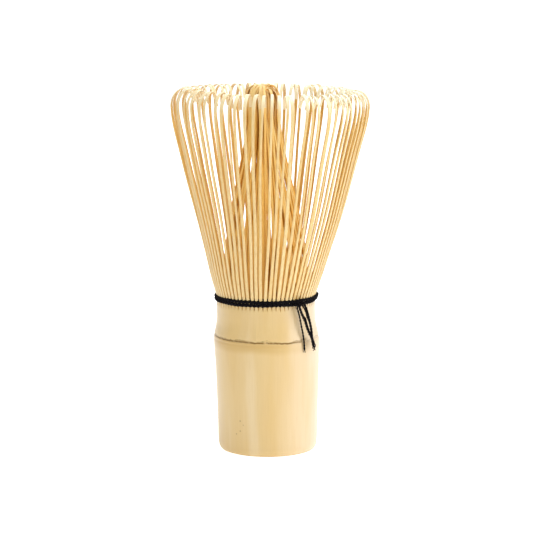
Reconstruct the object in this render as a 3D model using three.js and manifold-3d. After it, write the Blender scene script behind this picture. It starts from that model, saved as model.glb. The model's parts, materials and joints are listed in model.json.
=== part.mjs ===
// Bamboo tea whisk, in millimetres, +Z up, standing on its handle with the tines upwards.
// The origin is the centre of the handle's foot. -Y is the front, where the thread's knot is seen to the right.
//
// The whisk is cut from one length of culm. Below the thread the culm stays whole and is the handle: an open tube
// below the node, closed at the node by the natural diaphragm, and a short open cup above it. Above the thread the
// wall is split into strips, and each strip into fine tines. Every second tine is an outer tine, which flares out and
// hooks back at its tip, and the ones between are inner tines, which lean in to a tight bundle on the axis.
// One strip's outer tines share a short root block, and so do the inner tines of three strips, so that each group
// can flex at the thread as one piece. Black cotton thread is woven round the roots, knotted, and its ends hang free.

import * as THREE from "three";
import { mergeVertices } from "three/addons/utils/BufferGeometryUtils.js";
import Module from "manifold-3d";

const wasm = await Module();
wasm.setup();

// ---- driving dimensions, in millimetres and degrees ----
const OUTER_COMBS = 18; // strips that the wall is split into
const OUTER_PER_COMB = 4; // outer tines of one strip
const INNER_COMBS = 6; // groups of inner tines
const INNER_PER_COMB = 12;
const TINES = OUTER_COMBS * OUTER_PER_COMB; // 72 outer tines, and as many inner ones
const FIRST_AZ = -3.2; // where strip 1 starts, in degrees from the front towards +X

const CULM_TOP = 43.6; // where the culm stops being whole
const BORE_R = 10.3; // open tube below the node
const CUP_TOP_R = 11.9; // inside radius at the culm's top

const ROOT_Z0 = 44.0; // root blocks of the tines
const ROOT_Z1 = 45.9;
const OUTER_ROOT_R0 = 13.35;
const OUTER_ROOT_R1 = 14.15;
const INNER_ROOT_R0 = 11.9;
const INNER_ROOT_R1 = 13.05;
const ROOT_GAP = 0.3; // between two neighbouring blocks

const THREAD_IN_R = 14.45; // the two outer rounds of thread
const THREAD_OUT_R = 15.1;
const THREAD_LOWER_Z = [44.42, 45.3];
const THREAD_UPPER_Z = [45.42, 46.32];
const THREAD_SEP_R = [12.9, 13.35]; // the round between outer and inner tines
const THREAD_SEP_Z = [46.1, 46.8];

const KNOT_AZ = 39.5; // degrees from the front towards +X
const KNOT_R = 16.1; // middle of the knot
const KNOT_Z = 45.35;
const TAIL_D = 0.46; // diameter of a thread end

// Middle line of an outer tine: radius, height, thickness, width.
const OUTER_LINE = [
  [13.65, 44.7, 0.6, 0.9],
  [14.0, 46.4, 0.55, 0.9],
  [15.65, 50.2, 0.48, 0.86],
  [27.3, 94.6, 0.34, 0.64],
  [28.6, 101.2, 0.3, 0.62],
  [27.8, 105.1, 0.26, 0.6],
  [25.8, 106.4, 0.25, 0.58],
  [23.7, 105.2, 0.24, 0.56],
  [22.8, 102.6, 0.22, 0.52],
];
// Middle line of an inner tine.
const INNER_LINE = [
  [12.5, 44.7, 0.5, 0.62],
  [10.75, 67.2, 0.36, 0.52],
  [6.85, 85.2, 0.3, 0.4],
  [4.4, 98.0, 0.27, 0.28],
  [4.5, 104.0, 0.24, 0.27],
  [2.7, 107.4, 0.2, 0.15],
];
const INNER_CLOSE = 0.93; // how far a group's inner tines draw together at the top, as a share of their root angles

const rad = (d) => (d * Math.PI) / 180;

// ---- solids ----
// A three.js geometry as a closed solid with shared vertices.
function solid(geometry) {
  const bare = new THREE.BufferGeometry().setAttribute(
    "position",
    (geometry.index ? geometry.toNonIndexed() : geometry).getAttribute("position"),
  );
  const merged = mergeVertices(bare, 1e-4);
  return new wasm.Manifold(
    new wasm.Mesh({
      numProp: 3,
      vertProperties: new Float32Array(merged.attributes.position.array),
      triVerts: new Uint32Array(merged.index.array),
    }),
  );
}

function geometryOf(manifold) {
  const m = manifold.getMesh();
  const positions = new Float32Array(m.numVert * 3);
  for (let i = 0; i < m.numVert; i++)
    positions.set(m.vertProperties.subarray(i * m.numProp, i * m.numProp + 3), i * 3);
  const g = new THREE.BufferGeometry()
    .setAttribute("position", new THREE.BufferAttribute(positions, 3))
    .setIndex(new THREE.BufferAttribute(new Uint32Array(m.triVerts), 1));
  g.computeVertexNormals();
  return g;
}

// Outline of a strip of varying thickness around a middle line in the radius-height plane.
function stripShape(line) {
  const left = [],
    right = [];
  line.forEach(([r, z, t], i) => {
    const a = line[Math.max(0, i - 1)],
      b = line[Math.min(line.length - 1, i + 1)];
    const d = new THREE.Vector2(b[0] - a[0], b[1] - a[1]).normalize();
    left.push(new THREE.Vector2(r - (d.y * t) / 2, z + (d.x * t) / 2));
    right.push(new THREE.Vector2(r + (d.y * t) / 2, z - (d.x * t) / 2));
  });
  return new THREE.Shape([...right, ...left.reverse()]);
}

// Width and turn of the strip at a point, read off the nearest stretch of its middle line.
function alongLine(line, r, z) {
  let best = Infinity,
    found = [line[0][3], 0];
  for (let i = 0; i + 1 < line.length; i++) {
    const [r0, z0, , w0] = line[i],
      [r1, z1, , w1] = line[i + 1];
    const dr = r1 - r0,
      dz = z1 - z0;
    const s = Math.min(1, Math.max(0, ((r - r0) * dr + (z - z0) * dz) / (dr * dr + dz * dz)));
    const far = Math.hypot(r - r0 - s * dr, z - z0 - s * dz);
    if (far < best) {
      best = far;
      found = [w0 + s * (w1 - w0), (i + s) / (line.length - 1)];
    }
  }
  return found;
}

// One tine: the strip's outline given its width, then stood at its angle, which may change along its length.
function tine(line, angleAt) {
  const g = new THREE.ExtrudeGeometry(stripShape(line), { depth: 1, bevelEnabled: false });
  const p = g.getAttribute("position");
  for (let i = 0; i < p.count; i++) {
    const r = p.getX(i),
      z = p.getY(i),
      side = 0.5 - p.getZ(i);
    const [w, share] = alongLine(line, r, z);
    const a = angleAt(share);
    p.setXYZ(
      i,
      r * Math.cos(a) - side * w * Math.sin(a),
      r * Math.sin(a) + side * w * Math.cos(a),
      z,
    );
  }
  return solid(g);
}

// The block that a group's tines grow from: a piece of ring between two radii, a0 to a1 in degrees.
function rootBlock(r0, r1, a0, a1, steps) {
  const pts = [];
  for (let i = 0; i <= steps; i++) {
    const a = rad(a0 + ((a1 - a0) * i) / steps);
    pts.push(new THREE.Vector2(r1 * Math.cos(a), r1 * Math.sin(a)));
  }
  for (let i = steps; i >= 0; i--) {
    const a = rad(a0 + ((a1 - a0) * i) / steps);
    pts.push(new THREE.Vector2(r0 * Math.cos(a), r0 * Math.sin(a)));
  }
  const g = new THREE.ExtrudeGeometry(new THREE.Shape(pts), {
    depth: ROOT_Z1 - ROOT_Z0,
    bevelEnabled: false,
  });
  g.translate(0, 0, ROOT_Z0);
  return solid(g);
}

// ---- materials ----
const skin = new THREE.MeshStandardMaterial({ color: 0xecd59c, roughness: 0.42, metalness: 0 });
const outerWood = new THREE.MeshStandardMaterial({ color: 0xf0d49a, roughness: 0.55, metalness: 0 });
const innerWood = new THREE.MeshStandardMaterial({ color: 0xe0b362, roughness: 0.6, metalness: 0 });
const thread = new THREE.MeshStandardMaterial({ color: 0x0d0c10, roughness: 0.85, metalness: 0 });

const whisk = new THREE.Group();
whisk.name = "tea_whisk";
function add(name, geometry, material, parent = whisk) {
  const mesh = new THREE.Mesh(geometry, material);
  mesh.name = name;
  parent.add(mesh);
  return mesh;
}

// ---- handle: the whole part of the culm, with its node and diaphragm ----
const culmProfile = [
  [0, 30.1], // underside of the diaphragm
  [9.2, 29.7],
  [BORE_R, 28.4],
  [BORE_R, 0.5],
  [BORE_R + 0.4, 0],
  [12.9, 0], // foot
  [14.0, 0.6],
  [14.58, 2.4],
  [14.75, 6.5],
  [15.1, 16],
  [15.4, 24.5],
  [15.6, 32.4], // node ridge
  [15.42, 34.2],
  [14.7, 37.4],
  [14.5, 39.4],
  [14.5, CULM_TOP],
  [CUP_TOP_R, CULM_TOP],
  [11.3, 36.0],
  [9.8, 33.5],
  [0, 33.1], // upper face of the diaphragm
].map(([r, z]) => new THREE.Vector2(r, z));
const culm = new THREE.LatheGeometry(culmProfile, 36);
culm.rotateX(Math.PI / 2);
add("handle_culm", geometryOf(solid(culm)), skin);

// ---- outer tines: one group for each strip ----
const outerGroup = new THREE.Group();
whisk.add(outerGroup);
const outerStep = 360 / TINES;
const outerSector = 360 / OUTER_COMBS;
const blockTrim = (gap, r) => ((gap / 2 / r) * 180) / Math.PI;
for (let k = 0; k < OUTER_COMBS; k++) {
  const start = -90 + FIRST_AZ + k * outerSector;
  const trim = blockTrim(ROOT_GAP, OUTER_ROOT_R0);
  const parts = [
    rootBlock(OUTER_ROOT_R0, OUTER_ROOT_R1, start + trim, start + outerSector - trim, 2),
  ];
  for (let i = 0; i < OUTER_PER_COMB; i++) {
    const a = rad(start + (i + 0.5) * outerStep);
    parts.push(tine(OUTER_LINE, () => a));
  }
  add(
    "outer_tines_" + String(k + 1).padStart(2, "0"),
    geometryOf(wasm.Manifold.union(parts)),
    outerWood,
    outerGroup,
  );
}

// ---- inner tines: one group for every three strips ----
const innerGroup = new THREE.Group();
whisk.add(innerGroup);
const innerSector = 360 / INNER_COMBS;
for (let k = 0; k < INNER_COMBS; k++) {
  const start = -90 + FIRST_AZ + outerStep / 2 + k * innerSector;
  const middle = start + innerSector / 2;
  const trim = blockTrim(ROOT_GAP, INNER_ROOT_R0);
  const parts = [
    rootBlock(INNER_ROOT_R0, INNER_ROOT_R1, start + trim, start + innerSector - trim, 6),
  ];
  for (let i = 0; i < INNER_PER_COMB; i++) {
    const off = (i + 0.5) * (innerSector / INNER_PER_COMB) - innerSector / 2;
    parts.push(tine(INNER_LINE, (share) => rad(middle + off * (1 - (1 - INNER_CLOSE) * share))));
  }
  add(
    "inner_tines_" + String(k + 1).padStart(2, "0"),
    geometryOf(wasm.Manifold.union(parts)),
    innerWood,
    innerGroup,
  );
}

// ---- thread: two outer rounds, the round between outer and inner tines, the knot and three ends ----
function threadRound(r0, r1, z0, z1) {
  const rm = (r0 + r1) / 2,
    zm = (z0 + z1) / 2,
    a = (r1 - r0) / 2,
    b = (z1 - z0) / 2;
  const profile = [];
  for (let i = 0; i < 6; i++) {
    const t = (i * Math.PI) / 3 + Math.PI / 6;
    profile.push(new THREE.Vector2(rm + a * Math.cos(t), zm + b * Math.sin(t)));
  }
  profile.push(profile[0].clone());
  const g = new THREE.LatheGeometry(profile, 36);
  g.rotateX(Math.PI / 2);
  return solid(g);
}
const rounds = {
  thread_round_lower: threadRound(THREAD_IN_R, THREAD_OUT_R, ...THREAD_LOWER_Z),
  thread_round_upper: threadRound(THREAD_IN_R, THREAD_OUT_R, ...THREAD_UPPER_Z),
  thread_round_between: threadRound(...THREAD_SEP_R, ...THREAD_SEP_Z),
};
for (const [name, made] of Object.entries(rounds)) add(name, geometryOf(made), thread);

// The knot lies on the thread, in a frame of its own: x along the rounds, y outwards, z up.
const knotGroup = new THREE.Group();
const knotAngle = rad(-90 + KNOT_AZ);
knotGroup.rotation.z = knotAngle - Math.PI / 2;
whisk.add(knotGroup);
const knot = new THREE.SphereGeometry(1, 14, 10);
knot.scale(1.25, 0.72, 0.95);
knot.translate(0.15, KNOT_R, KNOT_Z);
add("thread_knot", geometryOf(solid(knot)), thread, knotGroup);

// Three ends hang from the knot in upright planes of their own, one in front of the other. +x in the knot's frame
// runs towards the front, so an end that leans to the right of the front view leans towards -x.
function threadEnd(points) {
  const path = new THREE.CatmullRomCurve3(points.map((p) => new THREE.Vector3(...p)));
  const ring = new THREE.Shape();
  ring.absarc(0, 0, TAIL_D / 2, 0, Math.PI * 2, false);
  const g = new THREE.ExtrudeGeometry(ring, { extrudePath: path, steps: 8, curveSegments: 4 });
  return solid(g);
}
const ENDS = {
  thread_end_left: [
    [1.75, 16.1, 43.95],
    [1.2, 16.1, 41.0],
    [0.05, 16.1, 36.0],
    [-1.05, 16.1, 31.0],
  ],
  thread_end_middle: [
    [1.0, 16.75, 43.95],
    [-1.0, 16.75, 39.9],
    [-2.7, 16.75, 36.1],
    [-4.8, 16.75, 31.9],
  ],
  thread_end_right: [
    [-1.0, 17.4, 43.95],
    [-1.6, 17.4, 41.5],
    [-2.75, 17.4, 37.3],
    [-3.95, 17.4, 31.2],
  ],
};
for (const [name, points] of Object.entries(ENDS))
  add(name, geometryOf(threadEnd(points)), thread, knotGroup);

export default whisk;
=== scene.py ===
"""The looks of a bamboo tea whisk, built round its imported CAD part. Lengths below are in millimetres until mesh()."""

import json
import math

import bpy
import numpy as np
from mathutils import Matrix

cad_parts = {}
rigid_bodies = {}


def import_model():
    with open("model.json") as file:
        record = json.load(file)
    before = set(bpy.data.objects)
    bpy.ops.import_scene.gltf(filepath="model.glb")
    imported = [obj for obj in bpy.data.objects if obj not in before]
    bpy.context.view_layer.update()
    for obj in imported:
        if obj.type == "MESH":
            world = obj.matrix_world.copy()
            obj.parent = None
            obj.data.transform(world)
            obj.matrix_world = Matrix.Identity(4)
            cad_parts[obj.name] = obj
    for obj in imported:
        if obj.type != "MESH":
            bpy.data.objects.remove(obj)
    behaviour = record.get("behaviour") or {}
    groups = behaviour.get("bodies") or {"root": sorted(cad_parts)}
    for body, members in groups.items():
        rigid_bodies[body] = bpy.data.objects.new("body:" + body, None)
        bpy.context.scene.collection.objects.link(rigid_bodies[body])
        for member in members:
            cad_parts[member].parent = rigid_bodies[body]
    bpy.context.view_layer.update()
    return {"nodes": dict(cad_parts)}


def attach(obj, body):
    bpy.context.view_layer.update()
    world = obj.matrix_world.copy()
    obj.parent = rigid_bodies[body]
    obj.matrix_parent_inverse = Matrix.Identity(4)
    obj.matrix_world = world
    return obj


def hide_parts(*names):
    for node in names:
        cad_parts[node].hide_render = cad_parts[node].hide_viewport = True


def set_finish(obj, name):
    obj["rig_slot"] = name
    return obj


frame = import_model()
rng = np.random.default_rng(20)

# ---- dimensions shared with the CAD part ----
STRIPS, PER_STRIP = 18, 4
BUNDLES, PER_BUNDLE = 6, 12
TINES = STRIPS * PER_STRIP
PITCH = 360 / TINES
FIRST_AZ = -3.2  # where strip 1 starts, in degrees from the front towards +X
KNOT_AZ = -90 + 39.5
NODE_Z = 33.9

# The real culm isn't quite straight, and its crown leans a little, so shapes are shifted along X by height.
def handle_lean(z):
    return np.interp(z, [0, 12, 25, 33, 45], [0.22, 0.2, 0.08, -0.15, -0.38])


def outer_lean(z):
    z = np.asarray(z, float)
    return handle_lean(np.minimum(z, 45)) + np.clip((z - 45) / 56, 0, 1.2) * 1.25 + 0.38 * np.exp(-(((z - 68) / 13) ** 2))


def inner_lean(z):
    z = np.asarray(z, float)
    return handle_lean(np.minimum(z, 45)) - np.clip((z - 45) / 60, 0, 1.1) * 0.6


# ---- meshes ----
def mesh(name, verts, faces, attributes=None, sharp=None):
    """A mesh object from points in millimetres, with a float attribute for each name given."""
    me = bpy.data.meshes.new(name)
    me.from_pydata((np.asarray(verts, float) * 0.001).tolist(), [], faces)
    me.update()
    me.shade_smooth()
    if sharp is not None:
        me.set_sharp_from_angle(angle=math.radians(sharp))
    for key, values in (attributes or {}).items():
        a = me.attributes.new(key, "FLOAT", "POINT")
        a.data.foreach_set("value", np.asarray(values, np.float32))
    o = bpy.data.objects.new(name, me)
    bpy.context.collection.objects.link(o)
    return o


class Build:
    """Collects several closed tubes or strips as one mesh."""

    def __init__(self):
        self.verts, self.faces, self.attributes, self.n = [], [], {}, 0

    def add(self, verts, faces, attributes=None):
        self.verts.append(np.asarray(verts, float))
        self.faces += [[i + self.n for i in f] for f in faces]
        count = len(verts)
        for key, value in (attributes or {}).items():
            self.attributes.setdefault(key, []).append(np.broadcast_to(np.asarray(value, float), (count,)))
        self.n += count

    def object(self, name, sharp=None):
        attributes = {k: np.concatenate(v) for k, v in self.attributes.items()}
        return mesh(name, np.concatenate(self.verts), self.faces, attributes, sharp)


def ring_faces(stations, m, closed=False):
    """Faces of a tube of `stations` rings of m points, closed on itself or capped at both ends."""
    faces = []
    last = stations if closed else stations - 1
    for i in range(last):
        a, b = i * m, ((i + 1) % stations) * m
        for j in range(m):
            k = (j + 1) % m
            faces.append([a + j, a + k, b + k, b + j])
    if not closed:
        faces.append(list(range(m))[::-1])
        faces.append([(stations - 1) * m + j for j in range(m)])
    return faces


def smooth_curve(points, count, closed=False):
    """Points along a Catmull-Rom curve through the given ones, evenly spread by length."""
    p = np.asarray(points, float)
    if closed:
        p = np.vstack([p[-1], p, p[0], p[1]])
    else:
        p = np.vstack([2 * p[0] - p[1], p, 2 * p[-1] - p[-2]])
    fine = []
    for i in range(1, len(p) - 2):
        p0, p1, p2, p3 = p[i - 1 : i + 3]
        for t in np.linspace(0, 1, 24, endpoint=False):
            fine.append(
                0.5
                * (
                    2 * p1
                    + (p2 - p0) * t
                    + (2 * p0 - 5 * p1 + 4 * p2 - p3) * t**2
                    + (3 * p1 - p0 - 3 * p2 + p3) * t**3
                )
            )
    fine.append(p[-2])
    fine = np.array(fine)
    length = np.concatenate([[0], np.cumsum(np.linalg.norm(np.diff(fine[:, :3], axis=0), axis=1))])
    at = np.linspace(0, length[-1], count, endpoint=not closed) if np.isscalar(count) else np.asarray(count) * length[-1]
    return np.stack([np.interp(at, length, fine[:, c]) for c in range(fine.shape[1])], axis=1)


# ---- the handle: culm with its node, diaphragm, cup and the slits between the tines' feet ----
COLUMNS = 720
phi = np.arange(COLUMNS) * 2 * math.pi / COLUMNS


def culm_radius(z):
    """Outside radius by height, on a curve through measured points."""
    zs = [0.0, 0.25, 0.7, 1.4, 2.4, 3.8, 6.0, 11.8, 17.7, 24.8, 28.0, 31.0, 32.6, 33.3, 33.9, 34.8, 36.2, 37.6, 39.2, 41.5, 43.6, 45.0]
    rs = [12.85, 13.65, 14.08, 14.4, 14.58, 14.66, 14.7, 14.83, 15.02, 15.26, 15.4, 15.5, 15.55, 15.45, 15.42, 15.32, 14.98, 14.7, 14.55, 14.52, 14.5, 14.42]
    return float(np.interp(z, zs, rs))


def wave(seed, terms, lowest=1):
    """A smooth random function of angle, about -1 to 1."""
    r = np.random.default_rng(seed)
    total = np.zeros(COLUMNS)
    for k in range(lowest, lowest + terms):
        total += r.normal() / (1 + 0.35 * (k - lowest)) * np.cos(k * phi + r.uniform(0, 7))
    return total / np.abs(total).max()


ROUNDNESS = 0.07 * wave(3, 3, 2)
FLUTES = wave(5, 60, 12)  # faint lengthwise grooves in the skin
RIDGE = wave(8, 9, 2)  # how the scar line wanders up and down
tine_angle = np.radians(-90 + FIRST_AZ + PITCH / 2)
GAPS = 0.5 + 0.5 * np.cos(TINES * (phi - tine_angle) + math.pi)  # 1 in the gaps between outer tines
SCAR_TILT = -0.016  # the scar line is lower on the right
SLIT_LENGTH = 0.45 + 0.5 * (0.5 + 0.5 * wave(11, 40, 9))

rows = []  # radius by angle, height by angle, and how much of the skin's own colour shows
for z in [*np.linspace(0.0, 2.4, 10), *np.linspace(3.2, 30.5, 15), *np.linspace(31.0, 36.0, 50), *np.linspace(36.4, 41.4, 10), *np.linspace(41.8, 44.7, 20)]:
    r = np.full(COLUMNS, culm_radius(z)) + ROUNDNESS * min(1, z / 3)
    r = r + 0.011 * FLUTES * min(1, z / 2)
    scar = NODE_Z + SCAR_TILT * 14 * np.cos(phi) + 0.14 * RIDGE + 0.05 * wave(9, 30, 9)
    # A low rib runs up the skin from the scar, a little left of the front.
    r = r + 0.07 * np.exp(-((((phi - 1.5 * math.pi + 0.2) * 15) / 0.35) ** 2)) * np.clip((z - scar + 0.4) / 0.8, 0, 1) * np.clip((41 - z) / 5, 0, 1)
    # The sheath scar: a fine step with a sharp groove, and a low swelling under it.
    r = r - 0.11 * np.exp(-(((z - scar) / 0.11) ** 2)) + 0.06 * np.exp(-(((z - scar + 0.42) / 0.24) ** 2))
    r = r - 0.05 * np.exp(-(((z - scar - 0.75) / 0.1) ** 2)) * (0.5 + 0.5 * wave(14, 14, 2))
    open_by = np.clip((z - (44.7 - 1.0 - SLIT_LENGTH)) / 0.8, 0, 1)
    r = r - 0.5 * open_by * np.clip((GAPS - 0.9) / 0.1, 0, 1) ** 1.2
    rows.append((r, np.full(COLUMNS, z), 1.0))
top = 44.75
rows.append((rows[-1][0] - 0.25, np.full(COLUMNS, top), 0.4))
for r, z in [(13.6, 44.75), (12.4, 44.72), (11.95, 44.6), (11.8, 43.4), (11.6, 41.0), (11.35, 38.2), (11.0, 36.2), (10.3, 34.6), (9.0, 33.75), (7.0, 33.35), (4.6, 33.15), (2.2, 33.1)]:
    rows.append((np.full(COLUMNS, r) + 0.06 * FLUTES * (r / 14), np.full(COLUMNS, z) + (0.05 * wave(31, 20, 3) if r < 11 else 0), 0.0))
under = []  # the open tube below the node, from the diaphragm out to the foot
for r, z in [(2.2, 30.1), (4.6, 30.05), (7.2, 29.95), (9.0, 29.6), (9.9, 28.9), (10.28, 27.6), (10.34, 22.0), (10.3, 15.0), (10.36, 8.0), (10.4, 2.0), (10.5, 0.7), (10.75, 0.15), (11.0, 0.0), (11.7, 0.0), (12.4, 0.0)]:
    under.append((np.full(COLUMNS, r) + (0.05 * FLUTES if 9 < r < 10.8 else 0), np.full(COLUMNS, z), 0.0))
rows = under[:-1] + rows

verts, skin, painted_slit_shade = [], [], []
for r, z, s in rows:
    verts.append(np.stack([r * np.cos(phi) + handle_lean(z), r * np.sin(phi), z], axis=1))
    skin.append(np.full(COLUMNS, s))
    # Painted shade: the skin in and beside the slits between the tines' feet is darkened to golden brown, more so
    # towards the top.
    near = np.clip((z - (44.7 - 1.0 - SLIT_LENGTH)) / 1.1, 0, 1) * np.clip((GAPS - 0.84) / 0.16, 0, 1)
    painted_slit_shade.append(near * s * (0.55 + 0.45 * wave(17, 36, 12)))
verts = np.concatenate(verts)
faces = []
for i in range(len(rows) - 1):
    a, b = i * COLUMNS, (i + 1) * COLUMNS
    for j in range(COLUMNS):
        k = (j + 1) % COLUMNS
        faces.append([a + j, a + k, b + k, b + j])
n = len(verts)
verts = np.vstack([verts, [[handle_lean(30.1), 0, 30.12], [handle_lean(33.1), 0, 33.08]]])
for j in range(COLUMNS):
    k = (j + 1) % COLUMNS
    faces.append([n, k, j])
    faces.append([n + 1, (len(rows) - 1) * COLUMNS + j, (len(rows) - 1) * COLUMNS + k])
culm = mesh(
    "culm_body",
    verts,
    faces,
    {"skin": np.concatenate(skin + [[0, 0]]), "painted_slit_shade": np.concatenate(painted_slit_shade + [[0, 0]])},
    sharp=55,
)
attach(culm, "handle")
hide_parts("handle_culm")
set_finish(culm, "culm")


# ---- tines ----
def section(width, thick, crown=0.12):
    """A cut strip's section: x across, y outwards, chamfered, and slightly convex on the skin side."""
    a, b = width / 2, thick / 2
    c = min(a, b) * 0.45
    return np.array(
        [
            (a, b - c),
            (a - c, b),
            (0, b * (1 + crown)),
            (-(a - c), b),
            (-a, b - c),
            (-a, -(b - c)),
            (-(a - c), -b),
            (0, -b),
            (a - c, -b),
            (a, -(b - c)),
        ]
    )


SKIN_SIDE = np.array([0.7, 1, 1, 1, 0.7, 0.25, 0, 0, 0, 0.25])


def add_tine(build, line, azimuth, lean, count, twist, bow, drift, tint, roll):
    """One tine. line is radius, height, thickness, width; the rest are this tine's own irregularities:
    twist turns its root angle by degrees along its length, bow and drift move it sideways in mm,
    and roll turns the blade about its own length, in degrees at the tip."""
    p = smooth_curve(line, count)
    m = len(p)
    r, z, thick, width = p.T
    s = np.concatenate([[0], np.cumsum(np.hypot(np.diff(r), np.diff(z)))])
    s /= s[-1]
    tangent = np.gradient(np.stack([r, z], axis=1), axis=0)
    tangent /= np.linalg.norm(tangent, axis=1)[:, None]
    out = np.stack([tangent[:, 1], -tangent[:, 0]], axis=1)
    angle = np.radians(azimuth + twist(s))
    side = bow(s) + drift(s)
    rolls = np.radians(roll(s))
    verts = []
    for i in range(m):
        c, sn = math.cos(angle[i]), math.sin(angle[i])
        er, et = np.array([c, sn, 0]), np.array([-sn, c, 0])
        centre = er * r[i] + et * side[i] + np.array([float(lean(z[i])), 0, z[i]])
        n = er * out[i, 0] + np.array([0, 0, out[i, 1]])
        cr, sr = math.cos(rolls[i]), math.sin(rolls[i])
        across, outward = et * cr + n * sr, n * cr - et * sr
        for x, y in section(width[i], thick[i]):
            verts.append(centre + across * x + outward * y)
    k = len(SKIN_SIDE)
    build.add(
        verts,
        ring_faces(m, k),
        {
            "skin": np.tile(SKIN_SIDE, m),
            "along": np.repeat(s, k),
            "tint": tint,
        },
    )


def root_arc(build, r0, r1, z0, z1, a0, a1):
    """The block that a group's tines grow out of."""
    steps = 14
    verts = []
    for i in range(steps + 1):
        a = math.radians(a0 + (a1 - a0) * i / steps)
        for r, z in ((r0, z0), (r1, z0), (r1, z1), (r0, z1)):
            verts.append((r * math.cos(a) + float(handle_lean(z)), r * math.sin(a), z))
    build.add(verts, ring_faces(steps + 1, 4), {"skin": 0.2, "along": 0.0, "tint": 0.5})


OUTER = [  # radius, height, thickness, width
    (13.96, 44.98, 0.66, 0.96),
    (14.14, 46.2, 0.52, 0.94),
    (14.82, 47.6, 0.46, 0.92),
    (15.64, 50.1, 0.48, 0.91),
    (16.5, 53.0, 0.49, 0.9),
    (18.07, 58.9, 0.53, 0.89),
    (20.1, 66.2, 0.6, 0.88),
    (22.08, 73.6, 0.64, 0.86),
    (24.0, 81.0, 0.62, 0.84),
    (25.8, 88.3, 0.56, 0.81),
    (27.35, 94.1, 0.47, 0.79),
    (28.15, 97.6, 0.37, 0.81),
    (28.6, 101.2, 0.3, 0.88),
    (28.25, 103.5, 0.26, 0.94),
    (27.2, 105.2, 0.23, 0.97),
    (25.6, 106.15, 0.21, 0.94),
    (24.1, 105.9, 0.2, 0.9),
    (22.9, 104.5, 0.19, 0.84),
    (22.2, 102.1, 0.17, 0.72),
]
INNER = [
    (12.4, 44.9, 0.6, 0.94),
    (12.5, 47.5, 0.5, 0.88),
    (12.2, 53.0, 0.46, 0.86),
    (11.55, 60.0, 0.46, 0.84),
    (10.55, 67.0, 0.45, 0.82),
    (8.9, 75.5, 0.41, 0.78),
    (6.85, 84.75, 0.35, 0.75),
    (5.5, 92.0, 0.28, 0.72),
    (4.8, 98.0, 0.23, 0.76),
    (5.0, 101.6, 0.21, 0.86),
    (4.85, 104.2, 0.19, 0.94),
    (3.95, 106.5, 0.18, 0.96),
    (2.55, 107.4, 0.17, 0.84),
    (1.4, 107.0, 0.16, 0.62),
    (0.7, 105.7, 0.15, 0.42),
]

straight = np.linspace(0, 0.83, 22)
OUTER_AT = np.concatenate([straight, np.linspace(0.83, 1, 19)[1:]])
INNER_AT = np.concatenate([np.linspace(0, 0.82, 22), np.linspace(0.82, 1, 18)[1:]])

# Irregularities that are given one by one at the front, where single tines are told apart: number from the front
# towards +X, sideways drift of the top in mm, and sideways turn of the hook in mm.
FRONT = {0: (0.3, -0.15), -1: (0.25, 0.1), -2: (0.2, 0.75), 1: (0.0, 0.2), 7: (0.7, -1.3), 6: (-0.5, -0.6)}
BROAD = (7,)  # a broader, darker tine

tine_number = 0
for k in range(STRIPS):
    start = -90 + FIRST_AZ + k * 360 / STRIPS
    build = Build()
    strip_tint = rng.uniform(-0.12, 0.12)
    for i in range(PER_STRIP):
        azimuth = start + (i + 0.5) * PITCH
        number = k * PER_STRIP + i
        if number > TINES // 2:
            number -= TINES
        line = np.array(OUTER)
        flare = rng.normal(0, 0.26)
        lift = rng.normal(0, 0.12)
        # The crown's right side is pressed in a little, and its hooks are lower there.
        right = max(0.0, math.cos(math.radians(azimuth)))
        top_share = np.clip((line[:, 1] - 45) / 56, 0, 1.1)
        line[:, 0] += flare * top_share**1.5
        left_front = math.exp(-((((azimuth + 148 + 180) % 360 - 180) / 26) ** 2))
        line[:, 1] += (lift - 0.55 * right + 0.85 * left_front) * np.clip((line[:, 1] - 90) / 12, 0, 1)
        line[:, 0] -= 0.35 * right * np.clip((line[:, 1] - 90) / 12, 0, 1)
        reach = rng.normal(-0.1, 0.4)
        line[-4:, 0] += reach * np.array([0.2, 0.5, 0.8, 1.0])
        line[-2:, 1] += rng.normal(0, 0.3) * np.array([0.5, 1.0])
        line[:, 3] *= rng.normal(1, 0.05)
        line[6:, 3] *= rng.normal(1, 0.1)
        side_drift = rng.normal(0, 0.42)
        hook_turn = rng.normal(0, 0.45)
        if number in FRONT:
            side_drift, hook_turn = FRONT[number]
        bend, _ = rng.normal(0, 0.16), rng.uniform(0, 1)
        blade_roll = rng.normal(0, 9)
        tone = np.clip(0.5 + strip_tint + rng.normal(0, 0.2), 0, 1)
        if number in BROAD:
            line[6:-4, 3] *= 1.35
            tone = 1.0
        add_tine(
            build,
            line,
            azimuth,
            outer_lean,
            OUTER_AT,
            twist=lambda s: 1.2 * s,
            bow=lambda s, b=bend: b * np.sin(np.pi * np.clip(s / 0.85, 0, 1)),
            drift=lambda s, d=side_drift, h=hook_turn: d * np.clip(s / 0.85, 0, 1) ** 1.6
            + h * np.clip((s - 0.86) / 0.14, 0, 1) ** 1.5,
            tint=tone,
            roll=lambda s, q=blade_roll: q * s,
        )
    trim = 0.6
    root_arc(build, 13.2, 13.9, 44.98, 45.7, start + trim, start + 360 / STRIPS - trim)
    o = build.object(f"strip_{k + 1:02d}_outer", sharp=32)
    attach(o, f"outer_tines_{k + 1:02d}")
    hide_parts(f"outer_tines_{k + 1:02d}")
    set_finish(o, "outer_tine")

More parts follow.
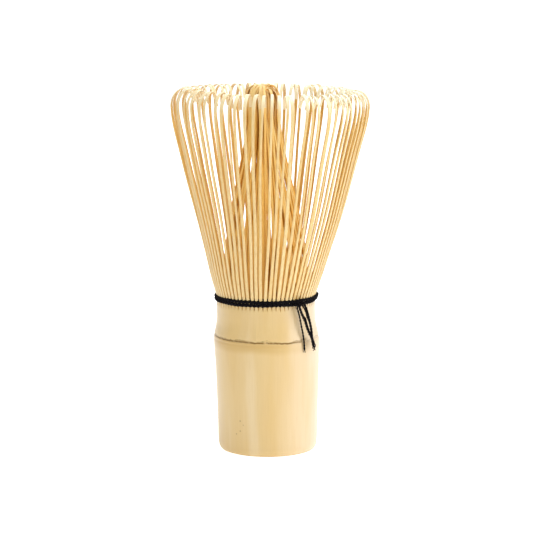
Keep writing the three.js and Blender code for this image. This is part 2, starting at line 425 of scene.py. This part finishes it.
for k in range(BUNDLES):
    start = -90 + FIRST_AZ + PITCH / 2 + k * 360 / BUNDLES
    build = Build()
    for i in range(PER_BUNDLE):
        azimuth = start + (i + 0.5) * PITCH
        layer = int(rng.choice([0, 1, 2], p=[0.34, 0.36, 0.3]))  # the depth at which it lies in the bundle
        line = np.array(INNER)
        up = np.clip((line[:, 1] - 60) / 35, 0, 1)
        line[:, 0] -= up * (0.55 * layer)
        # At the right of the front the tips stop short and leave the hollow of the bundle open.
        turn = (azimuth + 48 + 180) % 360 - 180
        if abs(turn) < 17:
            low = 1 - (turn / 17) ** 2
            line[:, 1] -= np.clip((line[:, 1] - 98) / 9, 0, 1) * 5.0 * low
            line[:, 0] *= 1 - 0.3 * low * np.clip((line[:, 1] - 90) / 10, 0, 1)
        line[:, 0] = np.maximum(line[:, 0], 0.6)
        line[:, 0] += rng.normal(0, 0.12) * up + rng.normal(0, 0.25) * np.sin(np.pi * np.clip((line[:, 1] - 45) / 50, 0, 1))
        line[:, 1] -= np.clip((line[:, 1] - 95) / 10, 0, 1) * (0.7 * layer + abs(rng.normal(0, 0.25)))
        line[:, 3] *= rng.normal(1, 0.08)
        swirl = rng.normal(10, 12)
        wander = rng.normal(0, 0.42)
        top_drift = rng.normal(0, 0.42)
        blade_roll = rng.normal(0, 18)
        add_tine(
            build,
            line,
            azimuth,
            inner_lean,
            INNER_AT,
            twist=lambda s, w=swirl: w * np.clip((s - 0.86) / 0.14, 0, 1) ** 2,
            bow=lambda s, b=wander: b * np.sin(np.pi * np.clip(s / 0.85, 0, 1)),
            drift=lambda s, d=top_drift: d * np.clip(s / 0.8, 0, 1) ** 2,
            tint=np.clip(0.45 + 0.15 * layer + rng.normal(0, 0.3), 0, 1),
            roll=lambda s, q=blade_roll: q * np.clip(s / 0.8, 0, 1),
        )
    root_arc(build, 11.95, 12.7, 44.85, 45.9, start + 0.8, start + 360 / BUNDLES - 0.8)
    o = build.object(f"bundle_{k + 1:02d}_inner", sharp=32)
    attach(o, f"inner_tines_{k + 1:02d}")
    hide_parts(f"inner_tines_{k + 1:02d}")
    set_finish(o, "inner_tine")


# ---- thread ----
def frames_along(points, closed=False):
    """Two unit vectors across a curve at each point, which turn as little as they can."""
    p = np.asarray(points, float)
    if closed:
        t = np.roll(p, -1, axis=0) - np.roll(p, 1, axis=0)
    else:
        t = np.gradient(p, axis=0)
    t /= np.linalg.norm(t, axis=1)[:, None]
    first = np.cross(t[0], [0, 0, 1.0])
    if np.linalg.norm(first) < 0.1:
        first = np.cross(t[0], [1.0, 0, 0])
    a = [first / np.linalg.norm(first)]
    for i in range(1, len(p)):
        v = a[-1] - t[i] * np.dot(a[-1], t[i])
        a.append(v / np.linalg.norm(v))
    a = np.array(a)
    return a, np.cross(t, a)


def add_yarn(build, points, radius, plies=3, lay=2.0, closed=False, seed=0, taper=False, sides=6):
    """A twisted yarn along a curve: each ply is a tube that winds round it once every `lay` mm."""
    p = np.asarray(points, float)
    a, b = frames_along(p, closed)
    step = np.linalg.norm(np.diff(p, axis=0, append=p[:1] if closed else p[-1:]), axis=1)
    run = np.concatenate([[0], np.cumsum(step)])[: len(p)]
    total = float(step.sum())
    turns = max(1, round(total / lay)) if closed else total / lay
    r = np.random.default_rng(seed)
    ply_radius = radius * (0.56 if plies == 2 else 0.52)
    offset = radius - ply_radius
    for q in range(plies):
        wind = 2 * math.pi * (turns * run / total + q / plies)
        scale = np.ones(len(p))
        if taper:
            scale *= np.clip((total - run) / 1.2, 0.35, 1) ** 0.6
        fray = 1 + (0.9 * np.clip((run - total + 1.5) / 1.5, 0, 1) if taper else 0)
        c = p + (a * np.cos(wind)[:, None] + b * np.sin(wind)[:, None]) * (offset * fray)[:, None] if taper else p + (
            a * np.cos(wind)[:, None] + b * np.sin(wind)[:, None]
        ) * offset
        ca, cb = frames_along(c, closed)
        verts = []
        for i in range(len(c)):
            for j in range(sides):
                w = 2 * math.pi * j / sides
                verts.append(c[i] + (ca[i] * math.cos(w) + cb[i] * math.sin(w)) * ply_radius * scale[i])
        build.add(verts, [f[::-1] for f in ring_faces(len(c), sides, closed)], {"tint": r.uniform(0, 1)})


def thread_round(radius, height, dip, climb, sign, seed, yarn):
    """A round of thread over the outer tines. It sinks in between them and shows a scalloped edge."""
    count = TINES * 12
    t = np.arange(count) * 2 * math.pi / count
    over = np.cos(TINES * (t - tine_angle))
    wobble = 0.05 * np.cos(5 * t + seed) + 0.035 * np.cos(11 * t + 2 * seed)
    r = radius + dip * over
    z = height - sign * climb * over + wobble
    # The rounds stand off a little on the right, where they come back from the knot.
    slack = np.exp(-(((t + math.pi) % (2 * math.pi) - math.pi - 0.1) / 0.32) ** 2)
    r = r + (0.45 if sign > 0 else 0.25) * slack
    z = z + 0.25 * slack
    return np.stack([r * np.cos(t) + float(handle_lean(45)), r * np.sin(t), z], axis=1), yarn


build = Build()
points, yarn = thread_round(14.56, 44.83, 0.13, 0.14, -1, 1, 0.46)
add_yarn(build, points, yarn, closed=True, lay=2.1, seed=1)
lower = build.object("thread_lower")
build = Build()
points, yarn = thread_round(14.64, 45.84, 0.13, 0.17, 1, 4, 0.46)
add_yarn(build, points, yarn, closed=True, lay=2.1, seed=2)
upper = build.object("thread_upper")
build = Build()
# Between the outer and the inner tines, with a strand that comes out through every gap.
t = np.arange(TINES * 8) * 2 * math.pi / (TINES * 8)
over = np.cos(TINES * (t - tine_angle))
points = np.stack([(13.42 - 0.12 * over) * np.cos(t) + float(handle_lean(46)), (13.42 - 0.12 * over) * np.sin(t), 46.45 + 0.1 * over], axis=1)
add_yarn(build, points, 0.32, closed=True, lay=1.9, seed=3)
for i in range(TINES):
    a = tine_angle + (i + 0.5) * math.radians(PITCH)
    ur, ut = np.array([math.cos(a), math.sin(a), 0]), np.array([-math.sin(a), math.cos(a), 0])
    shift = np.array([float(handle_lean(45)), 0, 0])
    strand = [ur * 14.7 + ut * 0.1 + [0, 0, 45.0], ur * 14.4 + [0, 0, 45.5], ur * 14.0 + [0, 0, 46.0], ur * 13.5 - ut * 0.06 + [0, 0, 46.35]]
    add_yarn(build, smooth_curve(np.array(strand) + shift, 7), 0.2, plies=2, lay=1.6, seed=50 + i, sides=5)
between = build.object("thread_between")
for o, node in ((lower, "thread_round_lower"), (upper, "thread_round_upper"), (between, "thread_round_between")):
    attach(o, "handle")
    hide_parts(node)
    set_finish(o, "thread")

ka = math.radians(KNOT_AZ)
KR = np.array([math.cos(ka), math.sin(ka), 0.0])
KT = np.array([-math.sin(ka), math.cos(ka), 0.0])
SHIFT = np.array([float(handle_lean(45)), 0, 0])


def at_knot(along, out, z):
    """A point by its place along the band, its distance from the axis and its height."""
    return KT * along + KR * out + np.array([0, 0, z]) + SHIFT


build = Build()
t = np.linspace(0, 2 * math.pi, 90, endpoint=False)
lump = [at_knot(-0.5 + 0.36 * (math.sin(q) + 1.5 * math.sin(2 * q)), 15.9 - 0.3 * math.sin(3 * q), 45.4 + 0.26 * (math.cos(q) - 1.6 * math.cos(2 * q))) for q in t]
add_yarn(build, lump, 0.4, closed=True, lay=1.8, seed=9)
wrap = [at_knot(-1.9, 14.8, 45.6), at_knot(-1.3, 15.7, 45.95), at_knot(-0.3, 16.3, 45.6), at_knot(0.5, 15.9, 44.95), at_knot(1.3, 14.8, 44.9)]
add_yarn(build, smooth_curve(wrap, 40), 0.36, lay=1.8, seed=10)
wrap = [at_knot(-1.7, 14.8, 44.9), at_knot(-0.9, 15.9, 45.1), at_knot(0.1, 16.35, 45.75), at_knot(0.9, 15.8, 46.0), at_knot(1.6, 14.8, 45.7)]
add_yarn(build, smooth_curve(wrap, 40), 0.36, lay=1.8, seed=11)
knot = build.object("knot_loops")
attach(knot, "handle")
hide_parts("thread_knot")
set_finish(knot, "thread")

ENDS = {
    "thread_end_left": (0.28, [(-1.05, 16.3, 45.3), (-1.5, 16.15, 44.3), (-1.05, 16.1, 42.8), (-0.54, 16.1, 41.14), (0.15, 16.1, 38.34), (0.68, 16.1, 36.28), (1.18, 16.1, 33.34), (1.35, 16.1, 30.7)]),
    "thread_end_middle": (0.42, [(-0.9, 16.6, 45.3), (-1.1, 16.7, 44.4), (-0.52, 16.72, 42.74), (0.2, 16.72, 41.4), (1.06, 16.72, 39.77), (1.76, 16.7, 38.0), (2.72, 16.68, 36.1), (3.5, 16.66, 34.9), (4.13, 16.64, 33.7), (4.85, 16.62, 31.9)]),
    "thread_end_right": (0.42, [(-0.35, 16.7, 45.7), (0.1, 17.3, 45.2), (0.95, 17.38, 43.4), (1.6, 17.4, 41.5), (2.3, 17.4, 39.2), (2.75, 17.38, 37.3), (2.98, 17.37, 35.6), (3.25, 17.36, 33.9), (3.95, 17.34, 31.2)]),
}
LOOSE = {
    # A ply that has come away from its end near the knot.
    "thread_end_middle": [(-0.9, 16.85, 45.2), (-1.35, 17.02, 44.0), (-0.35, 17.05, 42.1), (0.75, 17.05, 40.9), (1.35, 17.0, 39.4), (1.9, 16.95, 38.0), (2.45, 16.9, 36.7)],
    "thread_end_right": [(-0.7, 16.75, 45.3), (-0.5, 17.5, 44.6), (0.35, 17.7, 43.0), (0.95, 17.75, 41.2), (1.75, 17.72, 39.8), (2.35, 17.65, 38.0), (2.6, 17.6, 36.8)],
}
for seed, (node, (radius, places)) in enumerate(ENDS.items()):
    build = Build()
    add_yarn(build, smooth_curve([at_knot(*q) for q in places], 110), radius, plies=2, lay=1.9, seed=20 + seed, taper=True)
    if node in LOOSE:
        add_yarn(build, smooth_curve([at_knot(*q) for q in LOOSE[node]], 70), 0.26, plies=2, lay=1.3, seed=30 + seed, taper=True)
    o = build.object(node.replace("thread_end", "loose_end"))
    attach(o, node)
    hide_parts(node)
    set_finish(o, "thread")


# ---- materials ----
class Shader:
    """A short way to wire shader nodes."""

    def __init__(self, name):
        self.material = bpy.data.materials.new(name)
        self.material.use_nodes = True
        self.tree = self.material.node_tree
        self.bsdf = self.tree.nodes["Principled BSDF"]

    def node(self, kind, inputs=None, **settings):
        n = self.tree.nodes.new(kind)
        for key, value in settings.items():
            setattr(n, key, value)
        for key, value in (inputs or {}).items():
            self.set(n.inputs[key], value)
        return n

    def set(self, socket, value):
        if hasattr(value, "is_output"):
            self.tree.links.new(value, socket)
        else:
            socket.default_value = value

    def math(self, operation, a, b=0.0, c=0.0, clamp=False):
        n = self.tree.nodes.new("ShaderNodeMath")
        n.operation = operation
        n.use_clamp = clamp
        for socket, value in zip(n.inputs, (a, b, c)):
            self.set(socket, value)
        return n.outputs[0]

    def mix(self, factor, a, b, blend="MIX"):
        n = self.tree.nodes.new("ShaderNodeMix")
        n.data_type = "RGBA"
        n.blend_type = blend
        self.set(n.inputs[0], factor)
        self.set(n.inputs[6], a)
        self.set(n.inputs[7], b)
        return n.outputs[2]

    def attribute(self, name):
        return self.node("ShaderNodeAttribute", attribute_name=name).outputs["Fac"]

    def place(self):
        return self.node("ShaderNodeTexCoord").outputs["Object"]

    def noise(self, vector, scale, detail=3.0, stretch=None, rough=0.5):
        if stretch:
            m = self.node("ShaderNodeMapping")
            self.set(m.inputs["Vector"], vector)
            m.inputs["Scale"].default_value = stretch
            vector = m.outputs[0]
        n = self.node("ShaderNodeTexNoise")
        self.set(n.inputs["Vector"], vector)
        n.inputs["Scale"].default_value = scale
        n.inputs["Detail"].default_value = detail
        n.inputs["Roughness"].default_value = rough
        return n.outputs["Fac"]

    def ramp(self, value, low, high):
        n = self.node("ShaderNodeMapRange")
        n.interpolation_type = "SMOOTHSTEP"
        self.set(n.inputs["Value"], value)
        n.inputs["From Min"].default_value = low
        n.inputs["From Max"].default_value = high
        return n.outputs[0]

    def bump(self, height, strength, distance):
        n = self.node("ShaderNodeBump")
        n.inputs["Strength"].default_value = strength
        n.inputs["Distance"].default_value = distance
        self.set(n.inputs["Height"], height)
        self.set(self.bsdf.inputs["Normal"], n.outputs[0])


def rgb(r, g, b):
    """A colour given as it looks on a screen, 0 to 255."""
    return tuple((c / 255 / 12.92) if c / 255 <= 0.04045 else ((c / 255 + 0.055) / 1.055) ** 2.4 for c in (r, g, b)) + (1.0,)


def culm_material():
    s = Shader("bamboo_skin")
    where = s.place()
    x, y, z = s.node("ShaderNodeSeparateXYZ", {0: where}).outputs
    fibres = s.noise(where, 1.0, 4, (2600, 2600, 26), 0.6)
    broad = s.noise(where, 1.0, 3, (110, 110, 22), 0.5)
    pores = s.noise(where, 1.0, 2, (3400, 3400, 240), 0.5)
    colour = s.mix(s.ramp(broad, 0.3, 0.7), rgb(229, 203, 146), rgb(224, 192, 128))
    # Painted light across the culm: the left is painted yellower as painted shade away from the light on the right, and
    # the right paler and bluer as a painted sheen.
    colour = s.mix(s.ramp(x, -0.001, 0.0155), s.mix(0.65, colour, rgb(226, 191, 120)), s.mix(0.62, colour, rgb(238, 218, 190)))
    # Soft long patches of yellower and paler skin.
    long_patches = s.noise(where, 1.0, 2, (150, 150, 24), 0.4)
    colour = s.mix(s.math("MULTIPLY", s.ramp(long_patches, 0.5, 0.68), 0.5), colour, rgb(223, 186, 108))
    colour = s.mix(s.math("MULTIPLY", s.ramp(long_patches, 0.46, 0.3), 0.4), colour, rgb(242, 222, 182))
    colour = s.mix(s.math("MULTIPLY", s.ramp(fibres, 0.42, 0.72), 0.14), colour, rgb(206, 170, 104))
    colour = s.mix(s.math("MULTIPLY", s.ramp(pores, 0.64, 0.76), 0.1), colour, rgb(190, 150, 88))
    # Below the scar the node is a shade darker.
    level = s.math("ADD", z, s.math("MULTIPLY", x, -SCAR_TILT))
    low = s.ramp(s.math("ADD", level, s.math("MULTIPLY", broad, 0.0016)), 0.0308, 0.033)
    high = s.math("SUBTRACT", 1.0, s.ramp(level, NODE_Z * 0.001 - 0.0003, NODE_Z * 0.001 + 0.0002))
    shade = s.math("MULTIPLY_ADD", s.ramp(x, -0.004, 0.012), -0.6, 0.85)
    colour = s.mix(s.math("MULTIPLY", s.math("MULTIPLY", low, high), shade), colour, rgb(208, 168, 88))
    # The scar itself: a thin broken brown line, and a fainter one above it.
    wander = s.noise(where, 1.0, 3, (230, 230, 60), 0.55)
    fine = s.noise(where, 1.0, 4, (1500, 1500, 900), 0.6)
    line_z = s.math("ADD", NODE_Z * 0.001 - 0.00052, s.math("MULTIPLY", wander, 0.0011))
    line_z = s.math("ADD", line_z, s.math("MULTIPLY", fine, 0.00026))
    away = s.math("ABSOLUTE", s.math("SUBTRACT", level, line_z))
    line = s.math("SUBTRACT", 1.0, s.ramp(away, 0.0001, 0.00038))
    patchy = s.ramp(s.noise(where, 1.0, 3, (420, 420, 420), 0.6), 0.25, 0.5)
    # The line is strong at the front and fades towards the right.
    line = s.math("MULTIPLY", s.math("MULTIPLY", line, patchy), s.math("SUBTRACT", 1.0, s.math("MULTIPLY", s.ramp(x, 0.006, 0.013), 0.6)))
    away = s.math("ABSOLUTE", s.math("SUBTRACT", s.math("SUBTRACT", level, line_z), s.math("MULTIPLY", s.ramp(wander, 0.25, 0.75), 0.0007)))
    second = s.math("MULTIPLY", s.math("SUBTRACT", 1.0, s.ramp(away, 0.00005, 0.00026)), 0.55)
    second = s.math("MULTIPLY", second, s.ramp(s.noise(where, 1.0, 3, (300, 300, 300), 0.6), 0.3, 0.5))
    colour = s.mix(s.math("MAXIMUM", line, second), colour, rgb(134, 100, 30))
    # A few small brown specks.
    specks = None
    for px, py, pz, size in [(-4.2, -14.6, 37.6, 0.3), (-3.5, -14.9, 36.6, 0.3), (-7.85, -12.45, 10.6, 0.36), (-7.85, -12.4, 7.6, 0.36), (-8.95, -11.6, 6.6, 0.36), (-6.9, -12.9, 9.5, 0.22), (-12.4, -7.6, 41.2, 0.26), (6.2, 13.2, 22.0, 0.4), (11.0, 9.6, 12.5, 0.3)]:
        d = s.node("ShaderNodeVectorMath", operation="DISTANCE")
        s.set(d.inputs[0], where)
        d.inputs[1].default_value = (px * 0.001, py * 0.001, pz * 0.001)
        dot = s.math("SUBTRACT", 1.0, s.ramp(d.outputs["Value"], size * 0.0003, size * 0.001))
        specks = dot if specks is None else s.math("MAXIMUM", specks, dot)
    colour = s.mix(s.math("MULTIPLY", specks, 0.7), colour, rgb(152, 108, 44))
    # Cut faces: paler, with the dark ends and streaks of the fibres.
    cut = s.mix(s.ramp(s.noise(where, 1.0, 3, (1500, 1500, 60), 0.6), 0.35, 0.65), rgb(226, 200, 140), rgb(200, 166, 104))
    skin_share = s.attribute("skin")
    colour = s.mix(skin_share, cut, colour)
    # Painted shade in the slits between the tines' feet, in golden brown.
    colour = s.mix(s.math("MULTIPLY", s.attribute("painted_slit_shade"), 0.9, clamp=True), colour, rgb(196, 142, 44))
    s.set(s.bsdf.inputs["Base Color"], colour)
    s.set(s.bsdf.inputs["Roughness"], s.math("MULTIPLY_ADD", skin_share, -0.34, 0.74))
    s.bsdf.inputs["Specular IOR Level"].default_value = 0.6
    matt = s.math("SUBTRACT", 1.0, s.math("MAXIMUM", line, second))
    s.set(s.bsdf.inputs["Coat Weight"], s.math("MULTIPLY", s.math("MULTIPLY", skin_share, 0.9), matt))
    s.bsdf.inputs["Coat Roughness"].default_value = 0.3
    s.bump(fibres, 0.05, 0.0001)
    return s.material


def tine_material(name, skin_a, skin_b, inner_a, inner_b, streak, tip, gloss):
    s = Shader(name)
    where = s.place()
    tint = s.attribute("tint")
    fibres = s.noise(where, 1.0, 4, (2400, 2400, 60), 0.6)
    outside = s.mix(tint, skin_a, skin_b)
    # Painted light: the inner and side faces carry the pith side's own colour, tinted a saturated gold as a painted
    # glow of light through the thin tines.
    inside_and_painted_glow = s.mix(tint, inner_a, inner_b)
    colour = s.mix(s.ramp(s.attribute("skin"), 0.2, 0.9), inside_and_painted_glow, outside)
    colour = s.mix(s.math("MULTIPLY", s.ramp(fibres, 0.4, 0.7), 0.4), colour, streak)
    # The hooks are shaved thinnest and are paler, and the tips are also whitened as a painted highlight of the light
    # from above, stronger towards the right where the light falls.
    x = s.node("ShaderNodeSeparateXYZ", {0: where}).outputs[0]
    painted_right_highlight = s.math("MULTIPLY_ADD", s.ramp(x, -0.012, 0.02), 0.45, 0.55)
    colour = s.mix(s.math("MULTIPLY", s.math("MULTIPLY", s.ramp(s.attribute("along"), 0.8, 0.9), tip), painted_right_highlight), colour, rgb(255, 247, 212))
    s.set(s.bsdf.inputs["Base Color"], colour)
    s.bsdf.inputs["Roughness"].default_value = 0.45
    s.bsdf.inputs["Specular IOR Level"].default_value = 0.42
    s.set(s.bsdf.inputs["Coat Weight"], s.math("MULTIPLY", s.attribute("skin"), gloss))
    s.bsdf.inputs["Coat Roughness"].default_value = 0.32
    s.bump(fibres, 0.1, 0.00008)
    return s.material


def thread_material():
    s = Shader("black_thread")
    where = s.place()
    fuzz = s.noise(where, 1.0, 4, (2600, 2600, 2600), 0.7)
    colour = s.mix(s.attribute("tint"), rgb(10, 7, 9), rgb(20, 16, 20))
    colour = s.mix(s.math("MULTIPLY", s.ramp(fuzz, 0.55, 0.8), 0.5), colour, rgb(46, 44, 54))
    s.set(s.bsdf.inputs["Base Color"], colour)
    s.bsdf.inputs["Roughness"].default_value = 0.8
    s.bsdf.inputs["Specular IOR Level"].default_value = 0.08
    s.bsdf.inputs["Sheen Weight"].default_value = 0.12
    s.bsdf.inputs["Sheen Roughness"].default_value = 0.3
    s.bsdf.inputs["Sheen Tint"].default_value = rgb(190, 196, 225)
    s.bump(fuzz, 0.4, 0.00012)
    return s.material


skin_material = culm_material()
outer_material = tine_material(
    "bamboo_outer_tine", rgb(244, 217, 154), rgb(237, 204, 134), rgb(232, 188, 106), rgb(220, 170, 80), rgb(216, 166, 76), 1.0, 0.7
)
# The inner bundle is tinted a saturated gold all over, partly its own colour and partly a painted glow of light through
# the thin tines.
inner_material = tine_material(
    "bamboo_inner_tine", rgb(248, 215, 131), rgb(241, 192, 89), rgb(245, 191, 71), rgb(236, 171, 43), rgb(226, 164, 48), 0.25, 0.3
)
cotton = thread_material()
for o in bpy.data.objects:
    if o.type == "MESH" and o.name not in frame["nodes"]:
        chosen = {
            "culm": skin_material,
            "outer_tine": outer_material,
            "inner_tine": inner_material,
            "thread": cotton,
        }[o["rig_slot"]]
        o.data.materials.append(chosen)

# ---- stage, light and camera ----
floor_shader = Shader("floor_white")
floor_shader.bsdf.inputs["Base Color"].default_value = (0.93, 0.93, 0.93, 1)
floor_shader.bsdf.inputs["Roughness"].default_value = 0.9
floor_shader.bsdf.inputs["Specular IOR Level"].default_value = 0.1
floor_shader.bsdf.inputs["Emission Color"].default_value = (1, 1, 1, 1)
seen = floor_shader.node("ShaderNodeLightPath").outputs["Is Camera Ray"]
floor_shader.set(floor_shader.bsdf.inputs["Emission Strength"], floor_shader.math("MULTIPLY_ADD", seen, 0.65, 0.35))
verts = [(4000 * math.cos(a), 4000 * math.sin(a), -0.02) for a in np.linspace(0, 2 * math.pi, 64, endpoint=False)]
floor = mesh("floor_plain", verts, [list(range(64))])
floor.data.materials.append(floor_shader.material)

# The surroundings are white to look at, and light the object more softly.
world = bpy.data.worlds.new("soft_white")
bpy.context.scene.world = world
world.use_nodes = True
sky = world.node_tree
background = sky.nodes["Background"]
background.inputs[0].default_value = (1, 1, 1, 1)
path = sky.nodes.new("ShaderNodeLightPath")
seen = sky.nodes.new("ShaderNodeMath")
seen.operation = "MAXIMUM"
sky.links.new(path.outputs["Is Camera Ray"], seen.inputs[0])
sky.links.new(path.outputs["Is Glossy Ray"], seen.inputs[1])
level = sky.nodes.new("ShaderNodeMapRange")
level.inputs["To Min"].default_value = 0.29
level.inputs["To Max"].default_value = 1.02
sky.links.new(seen.outputs[0], level.inputs["Value"])
sky.links.new(level.outputs[0], background.inputs[1])


def area(name, place, size, power, colour=(1, 1, 1)):
    data = bpy.data.lights.new(name, "AREA")
    data.energy, data.size, data.color = power, size, colour
    o = bpy.data.objects.new(name, data)
    bpy.context.collection.objects.link(o)
    o.location = place
    aim = np.array([0, 0, 0.06]) - np.array(place)
    from mathutils import Vector

    o.rotation_mode = "QUATERNION"
    o.rotation_quaternion = Vector(aim).to_track_quat("-Z", "Y")
    return o


area("key_right", (0.78, -0.2, 0.35), 0.75, 3.4, (1.0, 0.985, 0.98))
area("front_soft", (0.05, -0.85, 0.6), 0.6, 1.0)
area("fill_left", (-0.7, -0.5, 0.35), 0.6, 0.55, (0.97, 0.98, 1.0))
area("top", (0.1, -0.05, 0.9), 0.5, 4.2)
area("back_wash", (0.1, 0.7, 0.7), 0.8, 2.4)

camera = bpy.data.objects.new("camera", bpy.data.cameras.new("camera"))
bpy.context.collection.objects.link(camera)
bpy.context.scene.camera = camera
camera.location = (0, -0.6805, 0.155)
camera.rotation_euler = (math.radians(90 - 8.608), 0, 0)
camera.data.lens = 156.5
camera.data.sensor_width = 36
camera.data.shift_x = 3.0 / 540
camera.data.shift_y = 3.9 / 540
camera.data.clip_start, camera.data.clip_end = 0.01, 20

bpy.context.scene.view_settings.view_transform = "Standard"
